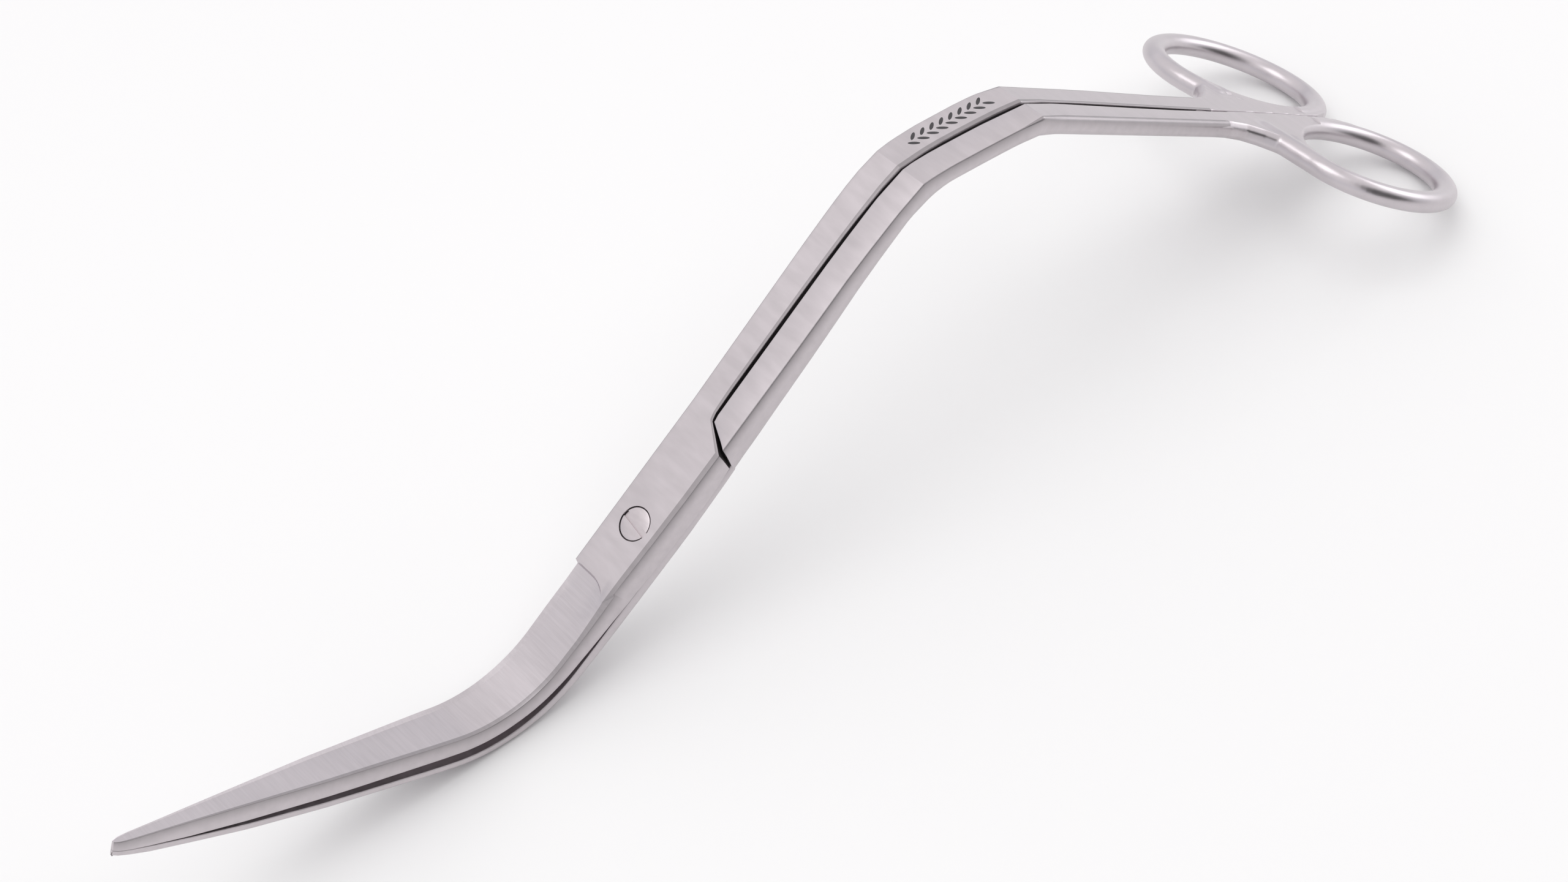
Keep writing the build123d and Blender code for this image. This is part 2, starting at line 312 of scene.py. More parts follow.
def cleanMesh(bm, gap=2e-6):
    bmesh.ops.remove_doubles(bm, verts=bm.verts, dist=gap)
    bmesh.ops.dissolve_degenerate(bm, edges=bm.edges, dist=gap)
    bmesh.ops.recalc_face_normals(bm, faces=bm.faces)


def newObject(name, mesh):
    piece = bpy.data.objects.new(name, mesh)
    bpy.context.scene.collection.objects.link(piece)
    return piece


# The blade, joint plate, shank, neck and handle of one half, as one closed skin along the path
def forgedStem(half):
    values = {key: ramp(*forging[key]) for key in forging if isinstance(forging[key], tuple)}
    values.update({key: ramp(*half[key]) for key in half if isinstance(half[key], tuple)})
    isUpper = half["side"] > 0
    bm = bmesh.new()
    shadeLayer = bm.loops.layers.float.new("wallShade")
    rows = []
    for s in stationList():
        ring = section(s, half, values)
        verts = [bm.verts.new(placePoint(s, y, depth, forward)) for y, depth, forward in ring]
        rows.append((s, verts, [depth for y, depth, forward in ring]))
    count = len(rows[0][1])
    wallStart, wallEnd, slotStart = 11, 29, 35       # places of the walls in a section
    slotWalls = (30, 48) if isUpper else (33, 52)    # of those, the ones that face the other half
    for (sA, rowA, depthA), (sB, rowB, depthB) in zip(rows, rows[1:]):
        s = (sA + sB) / 2
        onBlade = s < forging["bladeEnd"]
        topDepth = 0.5 if onBlade else 0.0
        for k in range(count):
            j = (k + 1) % count
            face = bm.faces.new((rowA[k], rowA[j], rowB[j], rowB[k]))
            onWall = wallStart <= k < wallEnd or slotStart <= k
            onOuter = k >= count - 1 or k < wallStart
            # painted shade: walls that face the other half, past the plates, get the dark slot finish for the shade
            # in the gap
            inSlot = s > forging["gapStart"] and slotWalls[0] <= k <= slotWalls[1]
            if onBlade and (onOuter or (isUpper and wallStart <= k < wallEnd)):
                face.material_index = 1
            elif inSlot:
                face.material_index = 3
            # painted shade: wall faces get a wallShade value that darkens them just under the top face, standing in
            # for the dark reflection along the sides
            if onWall and not inSlot:
                for loop, depth in zip(face.loops, (depthA[k], depthA[j], depthB[j], depthB[k])):
                    loop[shadeLayer] = max(0.0, 1 - (depth - topDepth) / forging["barrelReach"]) ** 1.5
    for s, row, depths in (rows[0], rows[-1]):
        bm.faces.new(row)
    cleanMesh(bm)
    bmesh.ops.triangulate(bm, faces=[f for f in bm.faces if len(f.verts) > 4])
    mesh = bpy.data.meshes.new("forgedStem")
    bm.to_mesh(mesh)
    bm.free()
    return mesh


# Finger rings, in the plane of the handle: u runs along it from the second crease, y across.
# The tube is a Geometry Nodes sweep round an ellipse, thinner on the side where the rings meet
ringSizes = {
    "centreAlong": 78.2,
    "longRadius": 17.0,
    "toeIn": 4.0,
    "tubeWidth": 2.06,
    "tubeDepth": 1.8,
    "centreDepth": 1.48,
    "voxel": 0.17,
    "smoothing": 14,
    "plateau": 0.02,
    "edgeInset": 0.85,
    "ridgeFrom": 186.0,         # bearings from the ring's centre between which the tube's crown stands free
    "ridgeTo": -78.0,
    "ridgeHalf": 1.7,           # half width of the crown left by the grinding, and of its soft edge
    "runOut": 1.1,
    "crownRoom": 0.6,
    "noseRise": 0.08,           # how much higher the crown stands at its nose than along the ring
    "noseSteps": 40,
    "webHeights": (-3.15, -2.3, -0.85, 0.0),
    "satinTo": 55.0,            # the satin finish of the handle runs on this far
}
ringShapes = {
    1: {
        "centreAcross": 14.9,
        "shortRadius": 13.8,
        "innerTube": 0.74,      # tube size where the rings meet, as a share of its full size
        "nose": (62.1, 7.1),    # where the tube's crown runs out on the handle
        "gapSide": [(46.0, -0.12), (60.0, -0.26), (72.0, -0.62), (78.0, -0.95),
                    (82.0, -0.8), (86.0, 0.3), (89.0, 2.2), (91.0, 4.6)],
        "openingSide": [(87.0, 2.6), (80.0, 1.7), (74.0, 1.9), (69.0, 2.7), (65.0, 4.2), (62.6, 6.6), (61.5, 9.5)],
    },
    -1: {
        "centreAcross": 16.0,
        "shortRadius": 12.9,
        "innerTube": 0.8,
        "nose": (60.6, 4.9),
        "gapSide": [(46.0, 0.6), (60.0, 0.45), (72.0, 0.72), (78.0, 1.02),
                    (82.0, 1.3), (86.0, 2.0), (89.0, 3.4), (91.0, 5.4)],
        "openingSide": [(88.0, 4.6), (82.0, 3.6), (76.0, 4.0), (71.0, 5.2), (67.5, 6.8), (65.0, 8.8), (63.5, 10.5)],
    },
}
outerSide = [(61.0, 11.5), (59.2, 9.6), (57.2, 7.6), (54.4, 5.8), (51.0, 5.0), (46.0, 4.8)]


def handleMatrix():
    corner2 = topPath(crease2)[0]
    along, up = direction(handleRise), upward(handleRise)
    return Matrix((
        (along[0], 0, up[0], corner2[0] * mm),
        (0, 1, 0, 0),
        (along[1], 0, up[1], corner2[1] * mm),
        (0, 0, 0, 1),
    ))


def ringTree():
    tree = bpy.data.node_groups.new("fingerRing", "GeometryNodeTree")
    for name in ("longRadius", "shortRadius", "tubeWidth", "tubeDepth", "innerTube"):
        tree.interface.new_socket(name=name, in_out="INPUT", socket_type="NodeSocketFloat")
    tree.interface.new_socket(name="material", in_out="INPUT", socket_type="NodeSocketMaterial")
    tree.interface.new_socket(name="mesh", in_out="OUTPUT", socket_type="NodeSocketGeometry")
    nodes, links = tree.nodes, tree.links
    inputs = nodes.new("NodeGroupInput")
    result = nodes.new("NodeGroupOutput")

    def oval(resolution, wide, high):
        circle = nodes.new("GeometryNodeCurvePrimitiveCircle")
        circle.inputs["Resolution"].default_value = resolution
        circle.inputs["Radius"].default_value = 1.0
        scale = nodes.new("ShaderNodeCombineXYZ")
        links.new(inputs.outputs[wide], scale.inputs["X"])
        links.new(inputs.outputs[high], scale.inputs["Y"])
        scale.inputs["Z"].default_value = 1.0
        shape = nodes.new("GeometryNodeTransform")
        links.new(circle.outputs["Curve"], shape.inputs["Geometry"])
        links.new(scale.outputs["Vector"], shape.inputs["Scale"])
        return shape.outputs["Geometry"]

    # tube size by how near the tube is to the other ring
    place = nodes.new("GeometryNodeInputPosition")
    split = nodes.new("ShaderNodeSeparateXYZ")
    links.new(place.outputs["Position"], split.inputs["Vector"])
    toward = nodes.new("ShaderNodeMath")
    toward.operation = "DIVIDE"
    links.new(split.outputs["Y"], toward.inputs[0])
    links.new(inputs.outputs["shortRadius"], toward.inputs[1])
    size = nodes.new("ShaderNodeMapRange")
    size.interpolation_type = "SMOOTHSTEP"
    size.inputs["From Min"].default_value = -1.0
    size.inputs["From Max"].default_value = 0.1
    links.new(toward.outputs["Value"], size.inputs["Value"])
    links.new(inputs.outputs["innerTube"], size.inputs["To Min"])
    upright = nodes.new("GeometryNodeSetCurveNormal")
    upright.mode = "Z_UP"
    links.new(oval(96, "longRadius", "shortRadius"), upright.inputs["Curve"])
    thickness = nodes.new("GeometryNodeSetCurveRadius")
    links.new(upright.outputs["Curve"], thickness.inputs["Curve"])
    links.new(size.outputs["Result"], thickness.inputs["Radius"])
    sweep = nodes.new("GeometryNodeCurveToMesh")
    links.new(thickness.outputs["Curve"], sweep.inputs["Curve"])
    links.new(oval(28, "tubeWidth", "tubeDepth"), sweep.inputs["Profile Curve"])
    realize = nodes.new("GeometryNodeRealizeInstances")
    links.new(sweep.outputs["Mesh"], realize.inputs["Geometry"])
    finish = nodes.new("GeometryNodeSetMaterial")
    links.new(realize.outputs["Geometry"], finish.inputs["Geometry"])
    links.new(inputs.outputs["material"], finish.inputs["Material"])
    links.new(finish.outputs["Geometry"], result.inputs["mesh"])
    return tree


# Runs a node tree on an empty mesh and keeps its result as a plain mesh
def bakeTree(tree, settings):
    holder = newObject("holder", bpy.data.meshes.new("holder"))
    modifier = holder.modifiers.new("tree", "NODES")
    modifier.node_group = tree
    for item in tree.interface.items_tree:
        if item.in_out == "INPUT" and item.name in settings:
            modifier[item.identifier] = settings[item.name]
    depsgraph = bpy.context.evaluated_depsgraph_get()
    mesh = bpy.data.meshes.new_from_object(holder.evaluated_get(depsgraph), depsgraph=depsgraph)
    bpy.data.objects.remove(holder)
    return mesh


# The line of the tube's crown: from its nose at the handle on to the ring, and round it
def crownLine(shape):
    turns = np.radians(np.linspace(ringSizes["ridgeFrom"], ringSizes["ridgeTo"], 120))
    u = ringSizes["longRadius"] * np.cos(turns)
    y = shape["shortRadius"] * np.sin(turns)
    toe = -radians(ringSizes["toeIn"])
    crown = np.stack([ringSizes["centreAlong"] + u * cos(toe) - y * sin(toe),
                      shape["centreAcross"] + u * sin(toe) + y * cos(toe)], axis=1)
    nose = np.array(shape["nose"])
    steps = ringSizes["noseSteps"]
    lead = [nose + (crown[0] - nose) * k / steps for k in range(steps + 1)]
    return np.array(lead), crown


# Ring, web and handle stub joined into one soft skin, then ground flat on top like the handle
def ringAndWeb(half):
    sizes, side = ringSizes, half["side"]
    shape = ringShapes[side]
    bm = bmesh.new()
    tube = bakeTree(ringTree(), {
        "longRadius": sizes["longRadius"], "shortRadius": shape["shortRadius"], "innerTube": shape["innerTube"],
        "tubeWidth": sizes["tubeWidth"], "tubeDepth": sizes["tubeDepth"],
    })
    bm.from_mesh(tube)
    bmesh.ops.remove_doubles(bm, verts=bm.verts, dist=1e-5)
    place = Matrix.Translation((sizes["centreAlong"], shape["centreAcross"], -sizes["centreDepth"]))
    bmesh.ops.transform(bm, matrix=place @ Matrix.Rotation(-radians(sizes["toeIn"]), 4, "Z"), verts=bm.verts)
    lead, crown = crownLine(shape)
    for k, (u, y) in enumerate(lead):                # the tube runs on to its nose at the handle
        rise = sizes["noseRise"] * (1 - k / sizes["noseSteps"])
        shift = Matrix.Translation((u, y, rise - sizes["centreDepth"]))
        swell = Matrix.Diagonal((sizes["tubeWidth"], sizes["tubeWidth"], sizes["tubeDepth"], 1))
        bmesh.ops.create_icosphere(bm, subdivisions=3, radius=1.0, matrix=shift @ swell)
    # the web: full plan in the middle, drawn in at the top and bottom along its outer side
    inner, inset = shape["gapSide"] + shape["openingSide"], sizes["edgeInset"]
    full = inner + outerSide
    drawn = inner + [(u + 0.3 * inset if u > 50 else u, y - inset) for u, y in outerSide]
    layers = []
    for plan, height in zip((drawn, full, full, drawn), sizes["webHeights"]):
        layers.append([bm.verts.new((u, y, height)) for u, y in plan])
    bm.faces.new(layers[0])
    bm.faces.new(list(reversed(layers[-1])))
    for low, high in zip(layers, layers[1:]):
        for k in range(len(low)):
            j = (k + 1) % len(low)
            bm.faces.new((low[k], high[k], high[j], low[j]))
    bmesh.ops.triangulate(bm, faces=[f for f in bm.faces if len(f.verts) > 4])
    bmesh.ops.recalc_face_normals(bm, faces=bm.faces)
    if side < 0:
        bmesh.ops.scale(bm, vec=(1, -1, 1), verts=bm.verts)
        bmesh.ops.reverse_faces(bm, faces=bm.faces)
    mesh = bpy.data.meshes.new("ringBlank")
    bm.to_mesh(mesh)
    bm.free()
    blank = newObject("ringBlank", mesh)
    remesh = blank.modifiers.new("skin", "REMESH")
    remesh.mode = "VOXEL"
    remesh.voxel_size = sizes["voxel"]
    smooth = blank.modifiers.new("soften", "SMOOTH")
    smooth.factor = 0.5
    smooth.iterations = sizes["smoothing"]
    depsgraph = bpy.context.evaluated_depsgraph_get()
    skin = bpy.data.meshes.new_from_object(blank.evaluated_get(depsgraph), depsgraph=depsgraph)
    bpy.data.objects.remove(blank)
    places = np.empty(len(skin.vertices) * 3)
    skin.vertices.foreach_get("co", places)
    places = places.reshape(-1, 3)
    # outside the flat the wheel leaves the tube's crown standing
    across = places[:, 1] * side
    crest = np.concatenate([lead, crown])
    reach = np.full(len(places), 99.0)
    for u, y in crest:
        reach = np.minimum(reach, np.hypot(places[:, 0] - u, across - y))
    flat = np.clip((reach - sizes["ridgeHalf"]) / sizes["runOut"], 0, 1)
    flat = flat * flat * (3 - 2 * flat)
    ceiling = -sizes["plateau"] + (1 - flat) * sizes["crownRoom"]
    places[:, 2] = np.minimum(places[:, 2], ceiling)
    skin.vertices.foreach_set("co", (places * mm).ravel())
    skin.transform(handleMatrix())
    ground = (flat > 0.5) & (places[:, 2] > -sizes["plateau"] - 0.03) | (places[:, 0] < sizes["satinTo"])
    corners = np.empty(len(skin.loops), dtype=int)
    skin.loops.foreach_get("vertex_index", corners)
    starts = np.empty(len(skin.polygons), dtype=int)
    skin.polygons.foreach_get("loop_start", starts)
    skin.materials.clear()
    for polygon, start in zip(skin.polygons, starts):
        polygon.material_index = 0 if ground[corners[start]] else 2
    print("ring", side, "faces", len(skin.polygons), "size", np.ptp(places, axis=0).round(2))
    return skin


# Steel finishes: colour, roughness, the fineness of the grinding lines along x, y and z, their
# depth, and how dark the painted shade makes a wall just under its top edge
finishes = {
    "satinSteel": {
        "colour": (0.578, 0.537, 0.557), "roughness": 0.36, "grain": (700, 160, 700), "depth": 0.35, "edge": 0.62},
    "groundSteel": {
        "colour": (0.568, 0.530, 0.552), "roughness": 0.34, "grain": (2600, 60, 2600), "depth": 0.8, "edge": 0.62},
    "tubeSteel": {
        "colour": (0.585, 0.545, 0.568), "roughness": 0.33, "grain": (250, 250, 250), "depth": 0.05, "edge": 1.0},
    # painted shade: near-black finish for the walls that face the other half, standing in for the shade in the gap
    # between the halves
    "slotPaintedShade": {
        "colour": (0.16, 0.145, 0.15), "roughness": 0.5, "grain": (500, 500, 500), "depth": 0.5, "edge": 1.0},
    "etchedSteel": {
        "colour": (0.10, 0.095, 0.10), "roughness": 0.6, "grain": (3000, 3000, 3000), "depth": 0.4, "edge": 1.0},
    "screwSteel": {
        "colour": (0.600, 0.552, 0.570), "roughness": 0.36, "grain": (1500, 500, 1500), "depth": 0.5, "edge": 1.0},
}
wear = {
    "cloudScale": (75, 75, 75),                      # handling marks, a few mm across
    "cloudTone": (0.97, 1.03),
    "cloudRough": (0.93, 1.08),
    "grainTone": (0.95, 1.05),
    "lineHeight": 0.00002,
}


def steel(name):
    look = finishes[name]
    material = bpy.data.materials.new(name)
    material.use_nodes = True
    nodes, links = material.node_tree.nodes, material.node_tree.links
    shader = nodes["Principled BSDF"]
    shader.inputs["Metallic"].default_value = 1.0
    coords = nodes.new("ShaderNodeTexCoord")

    def noise(scale, detail):
        stretch = nodes.new("ShaderNodeMapping")
        stretch.inputs["Scale"].default_value = scale
        links.new(coords.outputs["Object"], stretch.inputs["Vector"])
        texture = nodes.new("ShaderNodeTexNoise")
        texture.inputs["Scale"].default_value = 1.0
        texture.inputs["Detail"].default_value = detail
        links.new(stretch.outputs["Vector"], texture.inputs["Vector"])
        return texture.outputs["Fac"]

    def scaled(value, low, high, fromLow=0.3, fromHigh=0.7):
        node = nodes.new("ShaderNodeMapRange")
        node.inputs["From Min"].default_value = fromLow
        node.inputs["From Max"].default_value = fromHigh
        node.inputs["To Min"].default_value = low
        node.inputs["To Max"].default_value = high
        links.new(value, node.inputs["Value"])
        return node.outputs["Result"]

    def times(a, b):
        node = nodes.new("ShaderNodeMath")
        node.operation = "MULTIPLY"
        links.new(a, node.inputs[0])
        links.new(b, node.inputs[1])
        return node.outputs["Value"]

    grain = noise(look["grain"], 4.0)
    cloud = noise(wear["cloudScale"], 3.0)
    # painted shade: the wallShade attribute darkens walls just under their top edge, down to the finish's edge share;
    # grain and handling marks vary the tone at random
    shade = nodes.new("ShaderNodeAttribute")
    shade.attribute_name = "wallShade"
    toneAndPaintedShade = times(times(scaled(grain, *wear["grainTone"]), scaled(cloud, *wear["cloudTone"])),
                 scaled(shade.outputs["Fac"], 1.0, look["edge"], 0.0, 1.0))
    tint = nodes.new("ShaderNodeVectorMath")
    tint.operation = "SCALE"
    tint.inputs[0].default_value = look["colour"]
    links.new(toneAndPaintedShade, tint.inputs["Scale"])
    links.new(tint.outputs["Vector"], shader.inputs["Base Color"])
    rough = look["roughness"]
    links.new(times(scaled(grain, rough - 0.03, rough + 0.05), scaled(cloud, *wear["cloudRough"])),
              shader.inputs["Roughness"])
    bump = nodes.new("ShaderNodeBump")
    bump.inputs["Strength"].default_value = look["depth"]
    bump.inputs["Distance"].default_value = wear["lineHeight"]
    links.new(grain, bump.inputs["Height"])
    links.new(bump.outputs["Normal"], shader.inputs["Normal"])
    return material


materials = {name: steel(name) for name in finishes}
print("materials", list(materials))


# Pivot screw: a flush cheese head above, a plain threaded end below, and their pockets in the halves
screw = {
    "headRadius": 2.6,
    "headHeight": 1.5,
    "headSink": 0.04,
    "neckRadius": 1.9,
    "endRadius": 1.5,
    "endSink": 0.12,
    "pocketGap": 0.16,
    "rim": 0.14,
    "slotWidth": 0.95,
    "slotDepth": 0.38,
    "slotTurn": 81.0,
    "bodyDepth": 6.3,
    "neckEnd": 4.0,
    "threadStart": 4.3,
    "threadPitch": 0.35,
    "threadDepth": 0.16,
    "endChamfer": 0.25,
    "steps": 72,
}


# Turns a profile of (radius, depth) round the screw's axis
def turned(profile, steps):
    bm = bmesh.new()
    rings = []
    for radius, depth in profile:
        if radius == 0:
            rings.append([bm.verts.new((0, 0, -depth))] * steps)
        else:
            turns = [2 * pi * k / steps for k in range(steps)]
            rings.append([bm.verts.new((radius * cos(turn), radius * sin(turn), -depth)) for turn in turns])
    for low, high in zip(rings, rings[1:]):
        for k in range(steps):
            j = (k + 1) % steps
            corners = list(dict.fromkeys((low[k], low[j], high[j], high[k])))
            if len(corners) > 2:
                bm.faces.new(corners)
    bmesh.ops.recalc_face_normals(bm, faces=bm.faces)
    mesh = bpy.data.meshes.new("turned")
    bm.to_mesh(mesh)
    bm.free()
    return mesh


def screwMatrix():
    along, up = direction(shankRise), upward(shankRise)
    return Matrix((
        (along[0] * mm, 0, up[0] * mm, pivotPoint.x * mm),
        (0, mm, 0, 0),
        (along[1] * mm, 0, up[1] * mm, pivotPoint.z * mm),
        (0, 0, 0, 1),
    ))


# Cuts one closed mesh out of another and keeps the result as a plain mesh
def cutOut(mesh, toolMesh):
    whole, tool = newObject("whole", mesh), newObject("tool", toolMesh)
    cut = whole.modifiers.new("cut", "BOOLEAN")
    cut.operation, cut.solver, cut.object = "DIFFERENCE", "EXACT", tool
    depsgraph = bpy.context.evaluated_depsgraph_get()
    result = bpy.data.meshes.new_from_object(whole.evaluated_get(depsgraph), depsgraph=depsgraph)
    bpy.data.objects.remove(whole)
    bpy.data.objects.remove(tool)
    bm = bmesh.new()
    bm.from_mesh(result)
    bmesh.ops.remove_doubles(bm, verts=bm.verts, dist=2e-6)      # slivers left by the cut
    bm.to_mesh(result)
    bm.free()
    return result


def pocket(isUpper):
    gap = screw["pocketGap"]
    if isUpper:
        radius, top, bottom = screw["headRadius"] + gap, -1.0, screw["headHeight"] + 0.1
    else:
        radius, top, bottom = screw["endRadius"] + gap, screw["bodyDepth"] - 1.2, screw["bodyDepth"] + 1.0
    tool = turned([(0, top), (radius, top), (radius, bottom), (0, bottom)], screw["steps"])
    tool.transform(screwMatrix())
    return tool


def makeScrew():
    head, rim, sink = screw["headRadius"], screw["rim"], screw["headSink"]
    neck, body, cut = screw["neckRadius"], screw["endRadius"], screw["threadDepth"]
    end = screw["bodyDepth"] - screw["endSink"]
    profile = [(0, sink), (head - rim, sink), (head - rim * 0.4, sink + rim * 0.25), (head, sink + rim),
               (head, screw["headHeight"]), (neck, screw["headHeight"] + 0.1),
               (neck, screw["neckEnd"]), (body, screw["neckEnd"] + 0.1)]
    depth = screw["threadStart"]
    while depth < end - 2 * screw["endChamfer"]:
        profile += [(body, depth), (body - cut, depth + cut), (body, depth + 2 * cut)]
        depth += screw["threadPitch"]
    profile += [(body, end - screw["endChamfer"]), (body - 0.2, end), (0, end)]
    blank = turned(profile, screw["steps"])
    bm = bmesh.new()
    wide, deep = screw["slotWidth"], screw["slotDepth"] + sink
    bmesh.ops.create_cube(bm, size=1.0)
    bmesh.ops.scale(bm, vec=(2 * head + 1, wide, 2 * deep), verts=bm.verts)
    bmesh.ops.rotate(bm, matrix=Matrix.Rotation(radians(screw["slotTurn"]), 3, "Z"), verts=bm.verts, cent=(0, 0, 0))
    slotMesh = bpy.data.meshes.new("slotTool")
    bm.to_mesh(slotMesh)
    bm.free()
    mesh = cutOut(blank, slotMesh)
    mesh.transform(screwMatrix())
    shadeByAngle(mesh, 30)
    piece = newObject("pivotScrew", mesh)
    mesh.materials.clear()
    mesh.materials.append(materials["screwSteel"])
    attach(piece, "lower")
    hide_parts("pivot_screw")
    print("screw faces", len(mesh.polygons))


def buildHalf(name, half, nodeName, bodyName):
    stem = cutOut(forgedStem(half), pocket(half["side"] > 0))
    ring = ringAndWeb(half)
    shadeByAngle(stem)
    shadeByAngle(ring, 32)
    bm = bmesh.new()
    bm.from_mesh(stem)
    bm.from_mesh(ring)
    mesh = bpy.data.meshes.new(name)
    bm.to_mesh(mesh)
    bm.free()
    piece = newObject(name, mesh)
    for finish in ("satinSteel", "groundSteel", "tubeSteel", "slotPaintedShade"):
        mesh.materials.append(materials[finish])
    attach(piece, bodyName)
    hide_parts(nodeName)
    print(name, "faces", len(mesh.polygons))


# Etched mark on the neck: a plain row of leaves, turned to each side in turn
sprig = {
    "leaves": 17,
    "spacing": 0.95,
    "leafLength": 0.95,
    "leafWidth": 0.3,
    "leafTurn": 38.0,
    "leafSides": 16,
    "relief": 0.008,
    "along": 4.6,               # from the first crease
    "across": 3.9,
}


def sprigTree():
    tree = bpy.data.node_groups.new("etchedSprig", "GeometryNodeTree")
    for name in ("leaves", "spacing", "leafLength", "leafWidth", "leafTurn", "relief"):
        kind = "NodeSocketInt" if name == "leaves" else "NodeSocketFloat"
        tree.interface.new_socket(name=name, in_out="INPUT", socket_type=kind)
    tree.interface.new_socket(name="material", in_out="INPUT", socket_type="NodeSocketMaterial")
    tree.interface.new_socket(name="mesh", in_out="OUTPUT", socket_type="NodeSocketGeometry")
    nodes, links = tree.nodes, tree.links
    inputs = nodes.new("NodeGroupInput")
    result = nodes.new("NodeGroupOutput")

    def vector(x=None, y=None, z=None):
        node = nodes.new("ShaderNodeCombineXYZ")
        for axis, socket in (("X", x), ("Y", y), ("Z", z)):
            if socket is not None:
                links.new(socket, node.inputs[axis])
        return node.outputs["Vector"]

    line = nodes.new("GeometryNodeMeshLine")
    links.new(inputs.outputs["leaves"], line.inputs["Count"])
    links.new(vector(x=inputs.outputs["spacing"]), line.inputs["Offset"])
    leaf = nodes.new("GeometryNodeMeshCylinder")
    leaf.inputs["Vertices"].default_value = sprig["leafSides"]
    leaf.inputs["Radius"].default_value = 1.0
    leaf.inputs["Depth"].default_value = 2.0
    outward = nodes.new("GeometryNodeTransform")
    links.new(leaf.outputs["Mesh"], outward.inputs["Geometry"])
    outward.inputs["Translation"].default_value = (1.15, 0, 0)
    sized = nodes.new("GeometryNodeTransform")
    links.new(outward.outputs["Geometry"], sized.inputs["Geometry"])
    size = vector(inputs.outputs["leafLength"], inputs.outputs["leafWidth"], inputs.outputs["relief"])
    links.new(size, sized.inputs["Scale"])
    index = nodes.new("GeometryNodeInputIndex")
    side = nodes.new("ShaderNodeMath")
    side.operation = "MODULO"
    side.inputs[1].default_value = 2.0
    links.new(index.outputs["Index"], side.inputs[0])
    swing = nodes.new("ShaderNodeMath")
    swing.operation = "MULTIPLY_ADD"
    swing.inputs[1].default_value = 2.0
    swing.inputs[2].default_value = -1.0
    links.new(side.outputs["Value"], swing.inputs[0])
    turn = nodes.new("ShaderNodeMath")
    turn.operation = "MULTIPLY"
    links.new(swing.outputs["Value"], turn.inputs[0])
    links.new(inputs.outputs["leafTurn"], turn.inputs[1])
    leaves = nodes.new("GeometryNodeInstanceOnPoints")
    links.new(line.outputs["Mesh"], leaves.inputs["Points"])
    links.new(sized.outputs["Geometry"], leaves.inputs["Instance"])
    links.new(vector(z=turn.outputs["Value"]), leaves.inputs["Rotation"])
    realize = nodes.new("GeometryNodeRealizeInstances")
    links.new(leaves.outputs["Instances"], realize.inputs["Geometry"])
    finish = nodes.new("GeometryNodeSetMaterial")
    links.new(realize.outputs["Geometry"], finish.inputs["Geometry"])
    links.new(inputs.outputs["material"], finish.inputs["Material"])
    links.new(finish.outputs["Geometry"], result.inputs["mesh"])
    return tree


def makeSprig():
    mesh = bakeTree(sprigTree(), {
        "leaves": sprig["leaves"], "spacing": sprig["spacing"], "leafLength": sprig["leafLength"],
        "leafWidth": sprig["leafWidth"], "leafTurn": radians(sprig["leafTurn"]), "relief": sprig["relief"],
    })
    place, rise = topPath(crease1 + sprig["along"])
    along, up = direction(rise), upward(rise)
    mesh.transform(Matrix((
        (along[0] * mm, 0, up[0] * mm, place[0] * mm),
        (0, mm, 0, sprig["across"] * mm),
        (along[1] * mm, 0, up[1] * mm, place[1] * mm),
        (0, 0, 0, 1),
    )))
    mesh.materials.clear()
    mesh.materials.append(materials["etchedSteel"])
    piece = newObject("etchedSprig", mesh)
    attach(piece, "upper")
    print("sprig faces", len(mesh.polygons))


buildHalf("upperHalf", upperHalf, "upper_half", "upper")
buildHalf("lowerHalf", lowerHalf, "lower_half", "lower")
makeScrew()
makeSprig()


# Stage: a plain pale floor, soft light and the camera
stage = {
    "floorSize": 4.0,
    "floorColour": (0.9, 0.9, 0.9, 1),
    "overhead": {"place": (-0.15, 0.1, 1.0), "target": (0, 0, 0.03), "size": 0.7, "power": 2.0},
    "right": {"place": (1.0, -0.1, 0.3), "target": (0.1, 0, 0.02), "size": 0.45, "power": 1.2},
    "cameraPlace": (-175.67, -235.173, 335.565),
    "cameraRight": (0.76095, -0.64482, -0.07188),
    "cameraDown": (-0.51566, -0.53381, -0.67018),
    "lens": 64.09,
}


def makeFloor():
    bm = bmesh.new()
    bmesh.ops.create_grid(bm, x_segments=1, y_segments=1, size=stage["floorSize"])
    mesh = bpy.data.meshes.new("floor")
    bm.to_mesh(mesh)
    bm.free()
    floor = newObject("floor", mesh)
    material = bpy.data.materials.new("floorPaint")
    material.use_nodes = True
    shader = material.node_tree.nodes["Principled BSDF"]
    shader.inputs["Base Color"].default_value = stage["floorColour"]
    shader.inputs["Roughness"].default_value = 0.8
    mesh.materials.append(material)


def makeLight(name):
    settings = stage[name]
    lamp = bpy.data.lights.new(name, "AREA")
    lamp.size = settings["size"]
    lamp.energy = settings["power"]
    light = bpy.data.objects.new(name, lamp)
    light.location = settings["place"]
    aim = Vector(settings["target"]) - Vector(settings["place"])
    light.rotation_euler = aim.to_track_quat("-Z", "Y").to_euler()
    bpy.context.scene.collection.objects.link(light)


def makeCamera():
    data = bpy.data.cameras.new("camera")
    data.sensor_width = 36.0
    data.lens = stage["lens"]
    camera = bpy.data.objects.new("camera", data)
    right, down = Vector(stage["cameraRight"]), Vector(stage["cameraDown"])
    back = right.cross(-down)
    turn = Matrix((right, -down, back)).transposed().to_4x4()
    camera.matrix_world = Matrix.Translation(Vector(stage["cameraPlace"]) * mm) @ turn
    bpy.context.scene.collection.objects.link(camera)
    bpy.context.scene.camera = camera


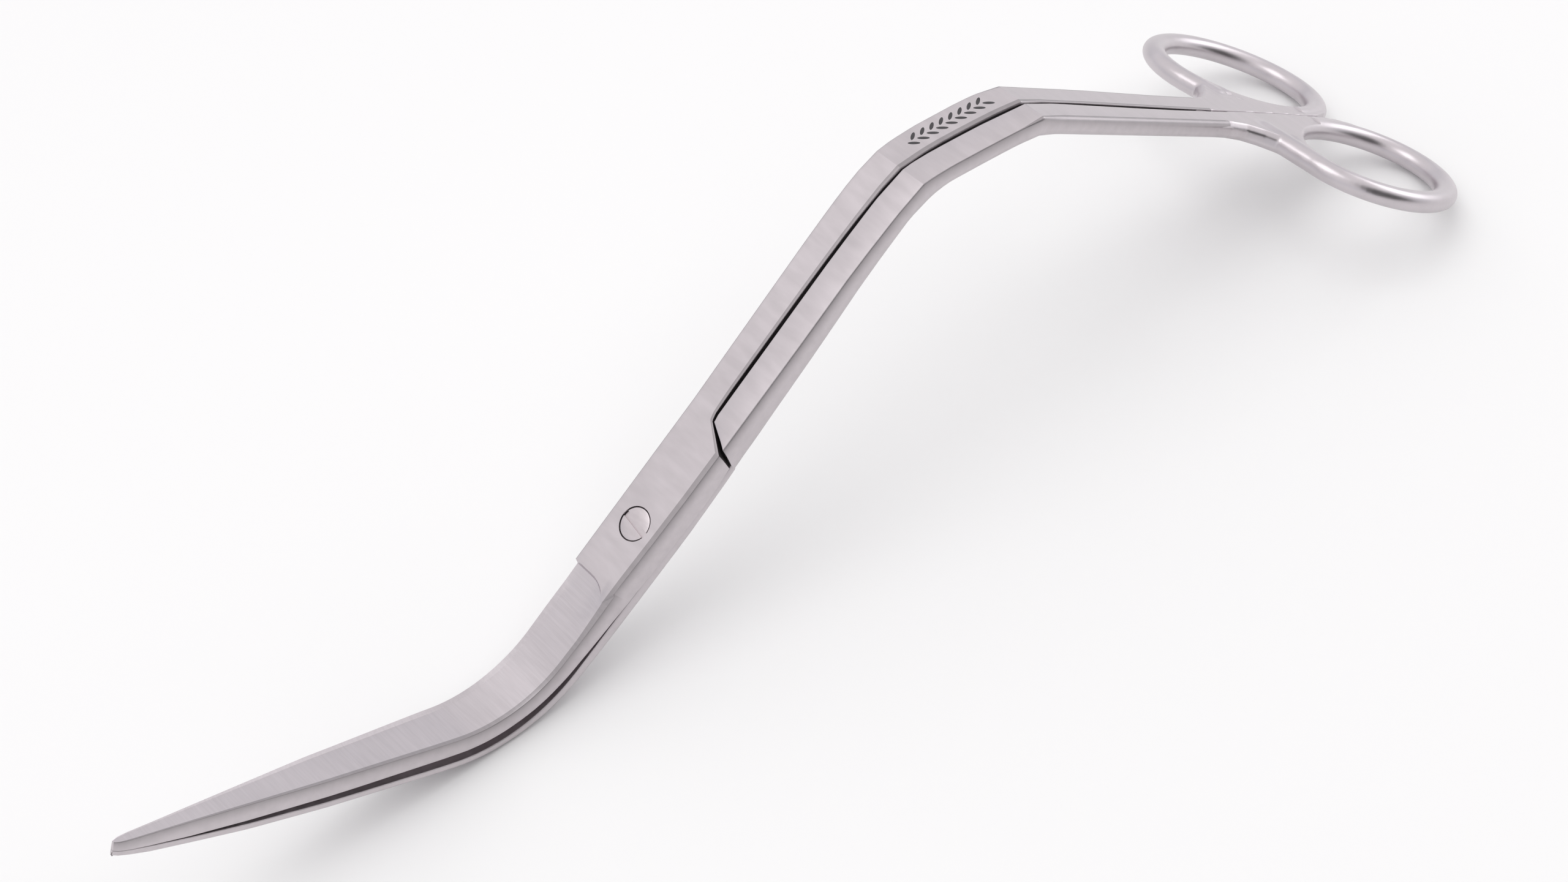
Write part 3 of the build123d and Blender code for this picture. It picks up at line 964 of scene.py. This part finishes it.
# Studio: soft white all round, with one dim side that the near walls reflect
studio = {
    "dimToward": (0.2, -0.95, 0.25),
    "dimLevel": 0.05,
    "dimFrom": 0.74,
    "dimFull": 0.90,
    "horizon": (0.80, 0.81, 0.85),
    "zenith": (1.0, 0.985, 0.99),
    "strength": 1.0,
}


def makeWorld():
    world = bpy.data.worlds.new("studio")
    world.use_nodes = True
    nodes, links = world.node_tree.nodes, world.node_tree.links
    background = nodes["Background"]
    coords = nodes.new("ShaderNodeTexCoord")
    height = nodes.new("ShaderNodeSeparateXYZ")
    links.new(coords.outputs["Generated"], height.inputs["Vector"])
    rise = nodes.new("ShaderNodeMapRange")
    rise.interpolation_type = "SMOOTHSTEP"
    rise.inputs["From Max"].default_value = 0.6
    links.new(height.outputs["Z"], rise.inputs["Value"])
    sky = nodes.new("ShaderNodeMix")
    sky.data_type = "RGBA"
    sky.inputs["A"].default_value = (*studio["horizon"], 1)
    sky.inputs["B"].default_value = (*studio["zenith"], 1)
    links.new(rise.outputs["Result"], sky.inputs["Factor"])
    facing = nodes.new("ShaderNodeVectorMath")
    facing.operation = "DOT_PRODUCT"
    facing.inputs[1].default_value = Vector(studio["dimToward"]).normalized()
    links.new(coords.outputs["Generated"], facing.inputs[0])
    dim = nodes.new("ShaderNodeMapRange")
    dim.interpolation_type = "SMOOTHSTEP"
    dim.inputs["From Min"].default_value = studio["dimFrom"]
    dim.inputs["From Max"].default_value = studio["dimFull"]
    links.new(facing.outputs["Value"], dim.inputs["Value"])
    room = nodes.new("ShaderNodeMix")
    room.data_type = "RGBA"
    links.new(sky.outputs["Result"], room.inputs["A"])
    room.inputs["B"].default_value = (*[studio["dimLevel"]] * 3, 1)
    links.new(dim.outputs["Result"], room.inputs["Factor"])
    links.new(room.outputs["Result"], background.inputs["Color"])
    background.inputs["Strength"].default_value = studio["strength"]
    bpy.context.scene.world = world


makeFloor()
makeWorld()
makeLight("overhead")
makeLight("right")
makeCamera()
bpy.context.scene.view_settings.view_transform = "Standard"
print("stage made")
